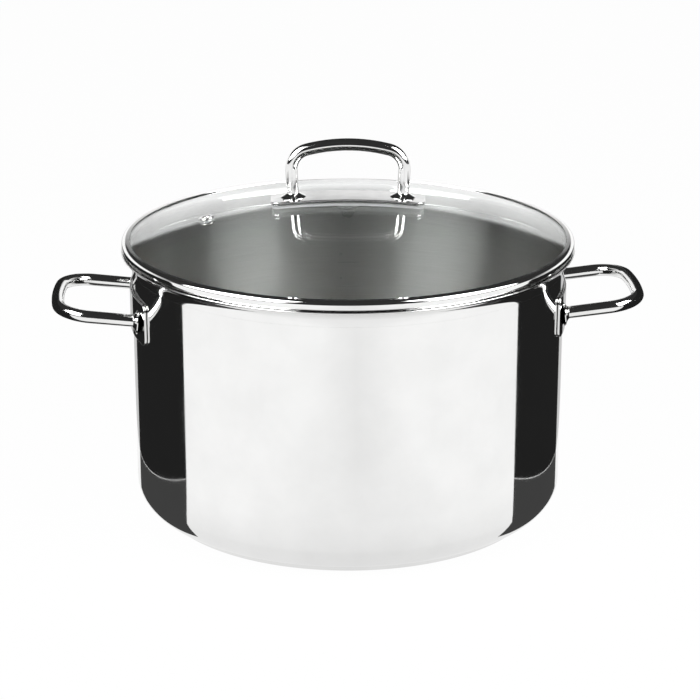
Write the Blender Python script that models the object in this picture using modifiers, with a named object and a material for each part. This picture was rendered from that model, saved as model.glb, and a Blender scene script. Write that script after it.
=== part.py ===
"""A stainless steel stock pot with an encapsulated base, two side handles and a domed glass lid.

Metres, +Z up. The origin is the bottom centre of the base, and +X runs through the side handles.
"""

import math

import bmesh
import bpy
from mathutils import Matrix, Vector

# ---------------------------------------------------------------- driving dimensions
GAP = 0.0003                # clearance kept between pieces that touch on the real object
TURN_STEPS = 64             # facets round the pot and the lid
SMALL_STEPS = 24            # facets round a stud, washer or eyelet

# pot
BODY_RADIUS = 0.1408        # outside of the straight wall
BODY_WALL = 0.0008
BODY_HEIGHT = 0.1762        # table to the top of the lip
CORNER_RADIUS = 0.0165      # outside radius between wall and floor
RIM_ARC = 0.0102            # outside radius of the pouring rim's curve
RIM_ANGLE = math.radians(68)

# encapsulated base
BASE_INSET = 0.0147         # how far the base's edge stays inside the wall
BASE_SHELL = 0.0006         # steel of the cap
BASE_CORE = 0.0022          # aluminium disc
BASE_EDGE = 0.0010          # rounding of the cap's lower edge

# side handles
WIRE = 0.0080               # diameter of every handle wire
FOOT_RADIUS = 0.0083        # flared end of a wire, where it is welded
FOOT_HEIGHT = 0.0028
SIDE_Z = 0.1393             # middle height of the straps
SIDE_STRAP_LENGTH = 0.1080  # along the wall
SIDE_STRAP_WIDTH = 0.0270
SIDE_STRAP = 0.0015         # strap thickness
SIDE_STRAP_CORNER = 0.0050
SIDE_FOOT_SPACING = 0.0810
SIDE_REACH = 0.0524         # foot to the middle of the bar
SIDE_CORNER = 0.0215
SIDE_CROWN = math.radians(6)
SIDE_SPLAY = math.radians(0)
SIDE_RISE = math.radians(6.5)

# lid
BAND_RADIUS = 0.1470        # outside of the rolled band
BAND_TOP_ROUND = 0.0038
BAND_FOOT_ROUND = 0.0025
BAND_LEDGE = 0.0009         # band under the glass edge
BAND_GRIP = 0.0050          # how far the band reaches inwards over the glass
BAND_STRIP = 0.0006         # sheet of the band
SKIRT_CLEARANCE = 0.0003    # from the skirt to the pot's inner wall
SKIRT_DEPTH = 0.0067        # below the band's foot
GLASS_INSET = 0.0015        # from the band's outside to the glass edge
GLASS = 0.0040
DOME_RADIUS = 0.4550        # inside of the glass
LID_TURN = math.radians(-3.6)  # the lid lies freely, slightly turned on the pot

# lid handle
TOP_STRAP_LENGTH = 0.1000
TOP_STRAP_WIDTH = 0.0250
TOP_STRAP = 0.0020
TOP_STRAP_CORNER = 0.0060
TOP_FOOT_SPACING = 0.0710
TOP_REACH = 0.0345
TOP_CORNER = 0.0130
TOP_CROWN = math.radians(14.5)
TOP_SPLAY = math.radians(3)
PAD = 0.0021
PAD_MARGIN = 0.0012         # pad edge inside the strap edge

# lid fixing
STUD_RADIUS = 0.0025
BUSH_WALL = 0.0010
SEAL_RADIUS = 0.0080
SEAL = 0.0010
WASHER_RADIUS = 0.0075
WASHER = 0.0010
NUT_RADIUS = 0.0050
NUT_HEIGHT = 0.0060
NUT_ROOF = 0.0015           # closed end below the stud
STUD_MARGIN = 0.0005        # free length below the stud inside the nut

# steam vent
VENT_RADIUS = 0.0917        # from the lid's axis
VENT_ANGLE = math.radians(184.6)
VENT_BORE = 0.0018          # radius of the steam hole
VENT_TUBE = 0.0007          # wall of the eyelet's tube
VENT_FLANGE = 0.0050        # radius of its flange
VENT_FLANGE_THICKNESS = 0.0010
VENT_WASHER = 0.0008

# ---------------------------------------------------------------- derived places
POT_FLOOR = BASE_SHELL + BASE_CORE + 2 * GAP          # underside of the pot body
INNER_RADIUS = BODY_RADIUS - BODY_WALL
RIM_START = BODY_HEIGHT - BODY_WALL / 2 - (RIM_ARC + BODY_WALL / 2) * math.sin(RIM_ANGLE)
RIM_CENTRE = Vector((BODY_RADIUS + RIM_ARC, RIM_START))

BAND_FOOT_CENTRE_R = BAND_RADIUS - BAND_FOOT_ROUND
SEAT_DISTANCE = RIM_ARC + BODY_WALL + BAND_FOOT_ROUND + GAP
BAND_FOOT_CENTRE_Z = RIM_START + math.sqrt(
    SEAT_DISTANCE ** 2 - (RIM_CENTRE.x - BAND_FOOT_CENTRE_R) ** 2)
BAND_BOTTOM = BAND_FOOT_CENTRE_Z - BAND_FOOT_ROUND
GLASS_RADIUS = BAND_RADIUS - GLASS_INSET
DOME_CENTRE = BAND_BOTTOM + BAND_LEDGE + GAP - math.sqrt(DOME_RADIUS ** 2 - GLASS_RADIUS ** 2)
DOME_OUTER = DOME_RADIUS + GLASS

SIDE_SEAT = BODY_RADIUS + GAP                         # inside radius of the side straps
TOP_SEAT = DOME_OUTER + PAD + 2 * GAP                 # inside radius of the lid strap
BUSH_RADIUS = STUD_RADIUS + GAP + BUSH_WALL
HANDLE_HOLE = BUSH_RADIUS + GAP
VENT_HOLE = VENT_BORE + VENT_TUBE + GAP


# ---------------------------------------------------------------- scene and materials
def clear_scene():
    for item in list(bpy.context.scene.objects):
        bpy.data.objects.remove(item, do_unlink=True)


def new_collection(name):
    collection = bpy.data.collections.new(name)
    bpy.context.scene.collection.children.link(collection)
    return collection


def finish(name, colour, roughness, metallic, transmission=0.0):
    """A Principled BSDF material for one piece."""
    material = bpy.data.materials.new(name)
    material.use_nodes = True
    shader = material.node_tree.nodes["Principled BSDF"]
    shader.inputs["Base Color"].default_value = (*colour, 1.0)
    shader.inputs["Roughness"].default_value = roughness
    shader.inputs["Metallic"].default_value = metallic
    shader.inputs["Transmission Weight"].default_value = transmission
    return material


def mirror_steel(name):
    return finish(name, (0.72, 0.72, 0.71), 0.08, 1.0)


def satin_steel(name):
    return finish(name, (0.58, 0.58, 0.57), 0.35, 1.0)


def aluminium(name):
    return finish(name, (0.78, 0.79, 0.80), 0.40, 1.0)


def clear_glass(name):
    return finish(name, (0.95, 0.97, 0.96), 0.02, 0.0, 1.0)


def silicone(name):
    return finish(name, (0.82, 0.83, 0.83), 0.50, 0.0, 0.4)


# ---------------------------------------------------------------- building blocks
def add_object(name, mesh, collection, material=None):
    item = bpy.data.objects.new(name, mesh)
    collection.objects.link(item)
    if material:
        mesh.materials.append(material)
    return item


def smooth(mesh):
    mesh.shade_smooth()
    mesh.set_sharp_from_angle(angle=math.radians(35))


def arc(centre, radius, start, end, count):
    """Points on an arc in the (r, z) plane, both ends included."""
    return [(centre[0] + radius * math.cos(start + (end - start) * i / count),
             centre[1] + radius * math.sin(start + (end - start) * i / count))
            for i in range(count + 1)]


def turned(name, profile, collection, material, steps=TURN_STEPS, ring=False):
    """Turns a profile of (r, z) points about Z. A ring's profile is a closed loop off the axis."""
    mesh = bpy.data.meshes.new(name)
    count = len(profile)
    edges = [(i, i + 1) for i in range(count - 1)]
    if ring:
        edges.append((count - 1, 0))
    mesh.from_pydata([(r, 0.0, z) for r, z in profile], edges, [])
    item = add_object(name, mesh, collection, material)
    screw = item.modifiers.new("turn", "SCREW")
    screw.axis = "Z"
    screw.steps = steps
    screw.render_steps = steps
    screw.use_merge_vertices = True
    screw.merge_threshold = 0.00001
    screw.use_smooth_shade = True
    return item


def cylinder_cutter(name, radius, depth, place, collection, steps=SMALL_STEPS):
    """A hidden cylinder, used to cut round holes."""
    mesh = bpy.data.meshes.new(name)
    shape = bmesh.new()
    bmesh.ops.create_cone(shape, cap_ends=True, segments=steps, radius1=radius, radius2=radius, depth=depth)
    shape.to_mesh(mesh)
    shape.free()
    item = add_object(name, mesh, collection)
    item.matrix_world = place
    item.hide_render = True
    item.display_type = "WIRE"
    return item


def cut(target, cutter):
    hole = target.modifiers.new(cutter.name, "BOOLEAN")
    hole.operation = "DIFFERENCE"
    hole.solver = "EXACT"
    hole.object = cutter


def strap(name, length, width, thickness, corner, seat, collection, material, bend_steps=20):
    """A flat strap with rounded corners, bent about the Y axis so that its inside has radius seat."""
    mesh = bpy.data.meshes.new(name)
    shape = bmesh.new()
    bmesh.ops.create_cube(shape, size=1.0)
    bmesh.ops.scale(shape, vec=(length, width, thickness), verts=shape.verts)
    upright = [e for e in shape.edges
               if abs(e.verts[0].co.z - e.verts[1].co.z) > thickness / 2]
    bmesh.ops.bevel(shape, geom=upright, offset=corner, segments=5, profile=0.5, affect="EDGES")
    for i in range(1, bend_steps):
        x = length * (i / bend_steps - 0.5)
        bmesh.ops.bisect_plane(shape, geom=shape.verts[:] + shape.edges[:] + shape.faces[:],
                               dist=0.000001, plane_co=(x, 0, 0), plane_no=(1, 0, 0))
    for vertex in shape.verts:
        angle = vertex.co.x / seat
        radius = seat + thickness / 2 + vertex.co.z
        vertex.co = (radius * math.sin(angle), vertex.co.y, radius * math.cos(angle))
    shape.to_mesh(mesh)
    shape.free()
    smooth(mesh)
    return add_object(name, mesh, collection, material)


def bow_half(spacing, reach, corner, crown, splay):
    """Half the centre line of a bow in (across, out) from its foot at (spacing / 2, 0) to its middle."""
    start, turn_end = -splay, math.pi / 2 - crown
    share = (1 - math.sin(turn_end)) / math.cos(turn_end)
    side = spacing / 2 - corner * (math.cos(start) - math.cos(turn_end))
    leg = (reach - corner * (math.sin(turn_end) - math.sin(start)) - side * share) / (
        math.cos(splay) + share * math.sin(splay))
    bar = (side + leg * math.sin(splay)) / math.cos(turn_end)

    points = [(spacing / 2 + d * math.sin(splay), d * math.cos(splay))
              for d in (0.0, FOOT_HEIGHT, (FOOT_HEIGHT + leg) / 2, leg)]
    across, out = points[-1]
    corner_centre = (across - corner * math.cos(start), out - corner * math.sin(start))
    points += arc(corner_centre, corner, start, turn_end, 7)[1:]
    bar_centre = (0.0, points[-1][1] - bar * math.sin(turn_end))
    points += arc(bar_centre, bar, turn_end, math.pi / 2, 3)[1:]
    return points


def bow(name, spacing, reach, corner, crown, splay, rise, seat, collection, material):
    """A bent wire whose flared feet sit on a strap of outside radius seat, bent about the Y axis."""
    foot_out = math.sqrt(seat ** 2 - (spacing / 2) ** 2)
    half = bow_half(spacing, reach, corner, crown, splay)
    path = half + [(-across, out) for across, out in reversed(half[:-1])]

    curve = bpy.data.curves.new(name, "CURVE")
    curve.dimensions = "3D"
    curve.bevel_depth = WIRE / 2
    curve.bevel_resolution = 4
    curve.use_fill_caps = True
    curve.render_resolution_u = 0
    spline = curve.splines.new("POLY")
    spline.points.add(len(path) - 1)
    for point, (across, out) in zip(spline.points, path):
        point.co = (across, out * math.sin(rise), foot_out + out * math.cos(rise), 1.0)
        point.radius = 1.0
    for end in (spline.points[0], spline.points[-1]):
        end.radius = 2 * FOOT_RADIUS / WIRE

    wire = bpy.data.objects.new(name + "_wire", curve)
    collection.objects.link(wire)
    graph = bpy.context.evaluated_depsgraph_get()
    mesh = bpy.data.meshes.new_from_object(wire.evaluated_get(graph))
    bpy.data.objects.remove(wire, do_unlink=True)

    shape = bmesh.new()
    shape.from_mesh(mesh)
    bmesh.ops.remove_doubles(shape, verts=shape.verts, dist=0.00001)
    caps = bmesh.ops.dissolve_faces(shape, faces=[f for f in shape.faces if len(f.verts) == 3])
    poked = bmesh.ops.poke(shape, faces=caps["region"])
    for vertex in {v for f in poked["faces"] for v in f.verts}:
        vertex.co.z = math.sqrt(seat ** 2 - vertex.co.x ** 2)
    shape.to_mesh(mesh)
    shape.free()
    mesh.name = name
    smooth(mesh)
    return add_object(name, mesh, collection, material)


# ---------------------------------------------------------------- the pot
def pot_body(collection):
    corner = (BODY_RADIUS - CORNER_RADIUS, POT_FLOOR + CORNER_RADIUS)
    lip = (RIM_CENTRE.x - (RIM_ARC + BODY_WALL / 2) * math.cos(RIM_ANGLE),
           RIM_CENTRE.y + (RIM_ARC + BODY_WALL / 2) * math.sin(RIM_ANGLE))
    lip_end = math.pi - RIM_ANGLE
    profile = [(0.0, POT_FLOOR + BODY_WALL)]
    profile += arc(corner, CORNER_RADIUS - BODY_WALL, -math.pi / 2, 0.0, 6)
    profile += arc(RIM_CENTRE, RIM_ARC + BODY_WALL, math.pi, lip_end, 5)
    profile += arc(lip, BODY_WALL / 2, lip_end, lip_end - math.pi, 2)[1:-1]
    profile += arc(RIM_CENTRE, RIM_ARC, lip_end, math.pi, 5)
    profile += arc(corner, CORNER_RADIUS, 0.0, -math.pi / 2, 6)
    profile += [(0.0, POT_FLOOR)]
    turned("pot_body", profile, collection, mirror_steel("pot_body_steel"))


def base(collection):
    outer = BODY_RADIUS - BASE_INSET
    inner = outer - BASE_SHELL
    rise = POT_FLOOR - GAP
    shell = [(0.0, BASE_SHELL)]
    shell += arc((outer - BASE_EDGE, BASE_EDGE), BASE_EDGE - BASE_SHELL, -math.pi / 2, 0.0, 2)
    shell += [(inner, rise), (outer, rise)]
    shell += arc((outer - BASE_EDGE, BASE_EDGE), BASE_EDGE, 0.0, -math.pi / 2, 4)
    shell += [(0.0, 0.0)]
    turned("base_shell", shell, collection, mirror_steel("base_shell_steel"))

    bottom, top = BASE_SHELL + GAP, BASE_SHELL + GAP + BASE_CORE
    edge = inner - GAP
    disc = [(0.0, top), (edge, top), (edge, bottom + BASE_EDGE), (edge - BASE_EDGE, bottom), (0.0, bottom)]
    turned("base_core", disc, collection, aluminium("base_core_aluminium"))


def side_handles(collection):
    """Both side handles. Their local X runs along the wall, Y up and Z outwards."""
    outwards = Matrix(((0, 0, 1, 0), (1, 0, 0, 0), (0, 1, 0, 0), (0, 0, 0, 1)))
    strap_outside = SIDE_SEAT + SIDE_STRAP + GAP
    for side, turn in (("right", 0.0), ("left", math.pi)):
        place = Matrix.Rotation(turn, 4, "Z") @ Matrix.Translation((0, 0, SIDE_Z)) @ outwards
        plate = strap(f"handle_plate_{side}", SIDE_STRAP_LENGTH, SIDE_STRAP_WIDTH, SIDE_STRAP,
                      SIDE_STRAP_CORNER, SIDE_SEAT, collection, mirror_steel(f"handle_plate_{side}_steel"))
        wire = bow(f"handle_bow_{side}", SIDE_FOOT_SPACING, SIDE_REACH, SIDE_CORNER, SIDE_CROWN,
                   SIDE_SPLAY, SIDE_RISE, strap_outside, collection,
                   mirror_steel(f"handle_bow_{side}_steel"))
        plate.matrix_world = place
        wire.matrix_world = place


# ---------------------------------------------------------------- the lid
def glass_under(radius):
    return DOME_CENTRE + math.sqrt(DOME_RADIUS ** 2 - radius ** 2)


def glass_over(radius):
    return DOME_CENTRE + math.sqrt(DOME_OUTER ** 2 - radius ** 2)


def vent_place():
    """The vent's frame: its origin on the dome's centre, its Z through the vent."""
    tilt = math.asin(VENT_RADIUS / DOME_OUTER)
    return (Matrix.Translation((0, 0, DOME_CENTRE)) @ Matrix.Rotation(VENT_ANGLE, 4, "Z")
            @ Matrix.Rotation(tilt, 4, "Y"))


def lid_glass(collection, cutters):
    edge_over = math.asin(GLASS_RADIUS / DOME_OUTER)
    edge_under = math.asin(GLASS_RADIUS / DOME_RADIUS)
    centre = (0.0, DOME_CENTRE)
    profile = arc(centre, DOME_OUTER, math.pi / 2, math.pi / 2 - edge_over, 6)
    profile += arc(centre, DOME_RADIUS, math.pi / 2 - edge_under, math.pi / 2, 6)
    glass = turned("lid_glass", profile, collection, clear_glass("lid_glass_clear"))
    middle = DOME_RADIUS + GLASS / 2
    handle_hole = cylinder_cutter("handle_hole", HANDLE_HOLE, 4 * GLASS,
                                  Matrix.Translation((0, 0, DOME_CENTRE + middle)), cutters)
    vent_hole = cylinder_cutter("vent_hole", VENT_HOLE, 4 * GLASS,
                                vent_place() @ Matrix.Translation((0, 0, middle)), cutters)
    cut(glass, handle_hole)
    cut(glass, vent_hole)
    return [glass, handle_hole, vent_hole]


def lid_rim_band(collection):
    skirt_outer = INNER_RADIUS - SKIRT_CLEARANCE
    skirt_inner = skirt_outer - BAND_STRIP
    grip = BAND_RADIUS - BAND_GRIP
    throat = GLASS_RADIUS + GAP
    top_centre = (BAND_RADIUS - BAND_TOP_ROUND, glass_over(grip) + GAP + BAND_STRIP - BAND_TOP_ROUND)
    foot_centre = (BAND_FOOT_CENTRE_R, BAND_FOOT_CENTRE_Z)
    profile = [(grip, glass_over(grip) + GAP + BAND_STRIP)]
    profile += arc(top_centre, BAND_TOP_ROUND, math.pi / 2, 0.0, 4)
    profile += arc(foot_centre, BAND_FOOT_ROUND, 0.0, -math.pi / 2, 3)
    profile += [(skirt_outer, BAND_BOTTOM), (skirt_outer, BAND_BOTTOM - SKIRT_DEPTH),
                (skirt_inner, BAND_BOTTOM - SKIRT_DEPTH), (skirt_inner, BAND_BOTTOM + BAND_STRIP),
                (grip - BAND_LEDGE, BAND_BOTTOM + BAND_STRIP), (grip, glass_under(grip) - GAP),
                (throat, glass_under(throat) - GAP), (throat, glass_over(throat) + GAP),
                (grip, glass_over(grip) + GAP)]
    return [turned("lid_rim_band", profile, collection, mirror_steel("lid_rim_band_steel"), ring=True)]


def steam_vent(collection):
    """The eyelet and its washer, modelled along the vent's own axis."""
    over, under = DOME_OUTER + GAP, DOME_RADIUS - 2 * GAP - VENT_WASHER
    tube = VENT_BORE + VENT_TUBE
    top, bottom = over + VENT_FLANGE_THICKNESS, under - VENT_FLANGE_THICKNESS
    eyelet = [(VENT_BORE, top - VENT_TUBE / 2), (VENT_BORE + VENT_TUBE / 2, top), (tube, top),
              (VENT_FLANGE - VENT_FLANGE_THICKNESS / 2, over + VENT_FLANGE_THICKNESS / 2),
              (VENT_FLANGE, over), (tube, over), (tube, under), (VENT_FLANGE, under),
              (VENT_FLANGE - VENT_FLANGE_THICKNESS / 2, bottom), (VENT_BORE, bottom)]
    washer = [(tube + GAP, DOME_RADIUS - GAP), (VENT_FLANGE, DOME_RADIUS - GAP),
              (VENT_FLANGE, under + GAP), (tube + GAP, under + GAP)]
    pieces = [
        turned("vent_eyelet", eyelet, collection, mirror_steel("vent_eyelet_steel"), SMALL_STEPS, ring=True),
        turned("vent_washer", washer, collection, silicone("vent_washer_silicone"), SMALL_STEPS, ring=True)]
    for piece in pieces:
        piece.matrix_world = vent_place()
    return pieces


def lid_handle(collection, cutters):
    """The lid's handle. Its local X runs along the strap and its Z through the lid's axis."""
    place = Matrix.Translation((0, 0, DOME_CENTRE))
    plate = strap("lid_handle_plate", TOP_STRAP_LENGTH, TOP_STRAP_WIDTH, TOP_STRAP, TOP_STRAP_CORNER,
                  TOP_SEAT, collection, mirror_steel("lid_handle_plate_steel"), 14)
    wire = bow("lid_handle_bow", TOP_FOOT_SPACING, TOP_REACH, TOP_CORNER, TOP_CROWN, TOP_SPLAY, 0.0,
               TOP_SEAT + TOP_STRAP + GAP, collection, mirror_steel("lid_handle_bow_steel"))
    pad = strap("lid_pad", TOP_STRAP_LENGTH - 2 * PAD_MARGIN, TOP_STRAP_WIDTH - 2 * PAD_MARGIN, PAD,
                TOP_STRAP_CORNER - PAD_MARGIN, DOME_OUTER + GAP, collection,
                silicone("lid_pad_silicone"), 14)
    pad_hole = cylinder_cutter("pad_hole", STUD_RADIUS + GAP, 8 * PAD,
                               Matrix.Translation((0, 0, DOME_CENTRE + DOME_OUTER)), cutters)
    pieces = [plate, wire, pad]
    for piece in pieces:
        piece.matrix_world = place
    cut(pad, pad_hole)
    return pieces + [pad_hole]


def lid_fixing(collection):
    """The stud and what it clamps, from the strap down to the cap nut."""
    strap_under = DOME_CENTRE + TOP_SEAT
    glass_top, glass_bottom = DOME_CENTRE + DOME_OUTER, DOME_CENTRE + DOME_RADIUS
    bore = STUD_RADIUS + GAP
    seal_top = glass_bottom - GAP
    washer_top = seal_top - SEAL - GAP
    nut_top = washer_top - WASHER - GAP
    nut_bottom = nut_top - NUT_HEIGHT
    stud_bottom = nut_bottom + NUT_ROOF + STUD_MARGIN
    nut_round = NUT_RADIUS / 3

    stud = [(0.0, strap_under - GAP), (STUD_RADIUS, strap_under - GAP), (STUD_RADIUS, stud_bottom),
            (0.0, stud_bottom)]
    bush = [(bore, glass_top), (BUSH_RADIUS, glass_top), (BUSH_RADIUS, glass_bottom), (bore, glass_bottom)]
    seal = [(bore, seal_top), (SEAL_RADIUS, seal_top), (SEAL_RADIUS, seal_top - SEAL),
            (bore, seal_top - SEAL)]
    washer = [(bore, washer_top), (WASHER_RADIUS, washer_top), (WASHER_RADIUS, washer_top - WASHER),
              (bore, washer_top - WASHER)]
    nut = [(0.0, nut_bottom + NUT_ROOF), (bore, nut_bottom + NUT_ROOF), (bore, nut_top),
           (NUT_RADIUS, nut_top)]
    nut += arc((NUT_RADIUS - nut_round, nut_bottom + nut_round), nut_round, 0.0, -math.pi / 2, 3)
    nut += [(0.0, nut_bottom)]
    return [
        turned("lid_stud", stud, collection, satin_steel("lid_stud_steel"), SMALL_STEPS),
        turned("lid_bush", bush, collection, silicone("lid_bush_silicone"), SMALL_STEPS, ring=True),
        turned("lid_seal_washer", seal, collection, silicone("lid_seal_silicone"), SMALL_STEPS, ring=True),
        turned("lid_washer", washer, collection, satin_steel("lid_washer_steel"), SMALL_STEPS, ring=True),
        turned("lid_nut", nut, collection, satin_steel("lid_nut_steel"), SMALL_STEPS)]


def lid(collection, cutters):
    """Every piece of the lid, under one empty that turns with it."""
    frame = bpy.data.objects.new("lid_frame", None)
    collection.objects.link(frame)
    pieces = lid_glass(collection, cutters) + lid_rim_band(collection) + steam_vent(collection)
    pieces += lid_handle(collection, cutters) + lid_fixing(collection)
    for piece in pieces:
        piece.parent = frame
    frame.rotation_euler.z = LID_TURN


def main():
    clear_scene()
    parts = new_collection("stock_pot")
    cutters = new_collection("stock_pot_cutters")
    pot_body(parts)
    base(parts)
    side_handles(parts)
    lid(parts, cutters)


main()
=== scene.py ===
"""Looks of a stainless steel stock pot with wire handles and a domed glass lid.

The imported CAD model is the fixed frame. Every piece here is modelled in metres in that frame,
gets its finish from shader nodes on Object coordinates, and rides on the CAD body "pot" or "lid".
"""

import logging
import math
from dataclasses import dataclass, field
from enum import Enum
from typing import Any, Sequence

import bmesh
import bpy
from mathutils import Matrix, Vector


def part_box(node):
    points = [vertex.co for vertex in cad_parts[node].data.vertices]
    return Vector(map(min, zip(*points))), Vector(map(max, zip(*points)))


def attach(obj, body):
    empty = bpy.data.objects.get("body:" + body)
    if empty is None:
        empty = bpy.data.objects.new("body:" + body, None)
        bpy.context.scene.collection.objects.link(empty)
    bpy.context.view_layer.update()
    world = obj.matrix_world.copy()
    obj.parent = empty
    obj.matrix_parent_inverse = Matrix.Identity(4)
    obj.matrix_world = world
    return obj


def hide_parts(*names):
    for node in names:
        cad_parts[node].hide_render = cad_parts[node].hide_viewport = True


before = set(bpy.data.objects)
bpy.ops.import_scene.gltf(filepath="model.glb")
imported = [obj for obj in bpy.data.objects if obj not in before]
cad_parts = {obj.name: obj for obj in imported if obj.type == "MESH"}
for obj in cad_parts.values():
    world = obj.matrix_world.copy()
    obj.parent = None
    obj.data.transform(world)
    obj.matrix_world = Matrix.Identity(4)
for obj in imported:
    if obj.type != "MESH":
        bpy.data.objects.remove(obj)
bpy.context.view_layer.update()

log = logging.getLogger("stock_pot")

Profile = list[tuple[float, float]]
Colour = tuple[float, float, float]
Piece = bpy.types.Object
Material = bpy.types.Material
Socket = bpy.types.NodeSocket


# ---- named options
class Body(Enum):
    """The CAD bodies that a piece can ride on."""

    POT = "pot"
    LID = "lid"


class Side(Enum):
    """The two sides of the pot, with the turn about Z that takes a front piece there."""

    RIGHT = math.pi / 2
    LEFT = -math.pi / 2


# ---- sizes shared by the pieces
@dataclass(frozen=True)
class PotSizes:
    """The pressed body that the other pieces fit.

    Lengths are in metres; heights come from the CAD boxes.
    """

    radius: float = 0.1408
    wall: float = 0.0008
    corner: float = 0.0165
    rim_arc: float = 0.0102
    rim_angle: float = math.radians(68)
    floor: float = field(default_factory=lambda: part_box("pot_body")[0].z)
    top: float = field(default_factory=lambda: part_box("pot_body")[1].z)

    @property
    def bore(self) -> float:
        """Inner radius of the wall."""
        return self.radius - self.wall

    @property
    def rim_start(self) -> float:
        """Height where the wall starts to flare."""
        return self.top - self.wall / 2 - (self.rim_arc + self.wall / 2) * math.sin(self.rim_angle)


@dataclass(frozen=True)
class DomeSizes:
    """The glass dome, with its centre far below the pot's floor."""

    inner: float = 0.4550
    thickness: float = 0.0040
    edge: float = 0.1455
    rim_height: float = field(default_factory=lambda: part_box("lid_glass")[0].z)

    @property
    def outer(self) -> float:
        """Radius of the upper face."""
        return self.inner + self.thickness

    @property
    def centre(self) -> float:
        """Height of the dome's centre."""
        return self.rim_height - math.sqrt(self.inner ** 2 - self.edge ** 2)

    def over(self, radius: float) -> float:
        """Height of the upper face at a radius."""
        return self.centre + math.sqrt(self.outer ** 2 - radius ** 2)

    def under(self, radius: float) -> float:
        """Height of the lower face at a radius."""
        return self.centre + math.sqrt(self.inner ** 2 - radius ** 2)


POT = PotSizes()
DOME = DomeSizes()
LID_TURN: float = math.radians(-3.6)


# ---- shader nodes
class TreeDesk:
    """Lays out the nodes of one tree and links them."""

    def __init__(self, tree: bpy.types.NodeTree) -> None:
        """Takes the tree to work on."""
        self.tree = tree

    def node(self, kind: str, **settings: Any) -> bpy.types.Node:
        """Adds a node.

        Args:
            kind: the node type without its "ShaderNode" prefix.
            settings: its properties.

        Returns:
            The node.
        """
        made = self.tree.nodes.new("ShaderNode" + kind)
        for key, value in settings.items():
            setattr(made, key, value)
        return made

    def put(self, node: bpy.types.Node, socket: str | int, value: Any) -> None:
        """Sets a socket to a constant, or links it to another socket."""
        if isinstance(value, Socket):
            self.tree.links.new(value, node.inputs[socket])
        else:
            node.inputs[socket].default_value = value

    def math(self, operation: str, first: Any, second: Any = 0.0) -> Socket:
        """Adds a Math node and returns its result."""
        made = self.node("Math", operation=operation)
        self.put(made, 0, first)
        self.put(made, 1, second)
        return made.outputs[0]

    def span(self, value: Socket, low: float, high: float,
             start: float = 0.3, end: float = 0.7) -> Socket:
        """Maps start..end of a value to low..high."""
        made = self.node("MapRange")
        for key, number in (("Value", value), ("From Min", start), ("From Max", end),
                            ("To Min", low), ("To Max", high)):
            self.put(made, key, number)
        return made.outputs[0]

    def blend(self, share: Socket, first: Sequence[float],
              second: Sequence[float]) -> Socket:
        """Mixes two colours by a value."""
        made = self.node("Mix", data_type="RGBA")
        self.put(made, "Factor", share)
        self.put(made, 6, (*first, 1.0))
        self.put(made, 7, (*second, 1.0))
        return made.outputs[2]


class NodeDesk(TreeDesk):
    """Lays out the nodes of one material, from its Principled shader."""

    def __init__(self, name: str) -> None:
        """Starts the material.

        Args:
            name: the material's name.
        """
        self.material = bpy.data.materials.new(name)
        self.material.use_nodes = True
        super().__init__(self.material.node_tree)
        self.shader = self.tree.nodes["Principled BSDF"]

    def set(self, **values: Any) -> None:
        """Sets sockets of the Principled shader; underscores stand for spaces."""
        for key, value in values.items():
            self.put(self.shader, key.replace("_", " "), value)

    def place(self) -> Socket:
        """Returns the Object coordinates."""
        return self.node("TexCoord").outputs["Object"]

    def turned_place(self, around: float, along: float) -> tuple[Socket, Socket]:
        """Coordinates for a texture that runs round the Z axis without a seam.

        Args:
            around: features per unit of the turn's sine and cosine.
            along: features per metre up the wall and across the floor.

        Returns:
            The vector and the W input of a four-dimensional texture.
        """
        split = self.node("SeparateXYZ")
        self.put(split, 0, self.place())
        x, y, z = split.outputs[0], split.outputs[1], split.outputs[2]
        reach = self.math("SQRT", self.math("ADD", self.math("MULTIPLY", x, x), self.math("MULTIPLY", y, y)))
        safe = self.math("MAXIMUM", reach, 0.0005)
        join = self.node("CombineXYZ")
        self.put(join, 0, self.math("MULTIPLY", self.math("DIVIDE", x, safe), around))
        self.put(join, 1, self.math("MULTIPLY", self.math("DIVIDE", y, safe), around))
        self.put(join, 2, self.math("MULTIPLY", z, along))
        return join.outputs[0], self.math("MULTIPLY", reach, along)

    def noise(self, place: Socket, scale: float, detail: float = 2.0,
              w: Socket | None = None) -> Socket:
        """Adds a noise texture and returns its value.

        Args:
            place: the coordinates.
            scale: features per unit.
            detail: octaves.
            w: the fourth coordinate, where the noise has one.

        Returns:
            The noise value, 0 to 1.
        """
        made = self.node("TexNoise", noise_dimensions="3D" if w is None else "4D")
        self.put(made, "Vector", place)
        self.put(made, "Scale", scale)
        self.put(made, "Detail", detail)
        if w is not None:
            self.put(made, "W", w)
        return made.outputs[0]

    def bump(self, height: Socket, strength: float, distance: float,
             under: Socket | None = None) -> Socket:
        """Adds a Bump node and returns its normal."""
        made = self.node("Bump")
        self.put(made, "Height", height)
        self.put(made, "Strength", strength)
        self.put(made, "Distance", distance)
        if under is not None:
            self.put(made, "Normal", under)
        return made.outputs[0]


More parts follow.
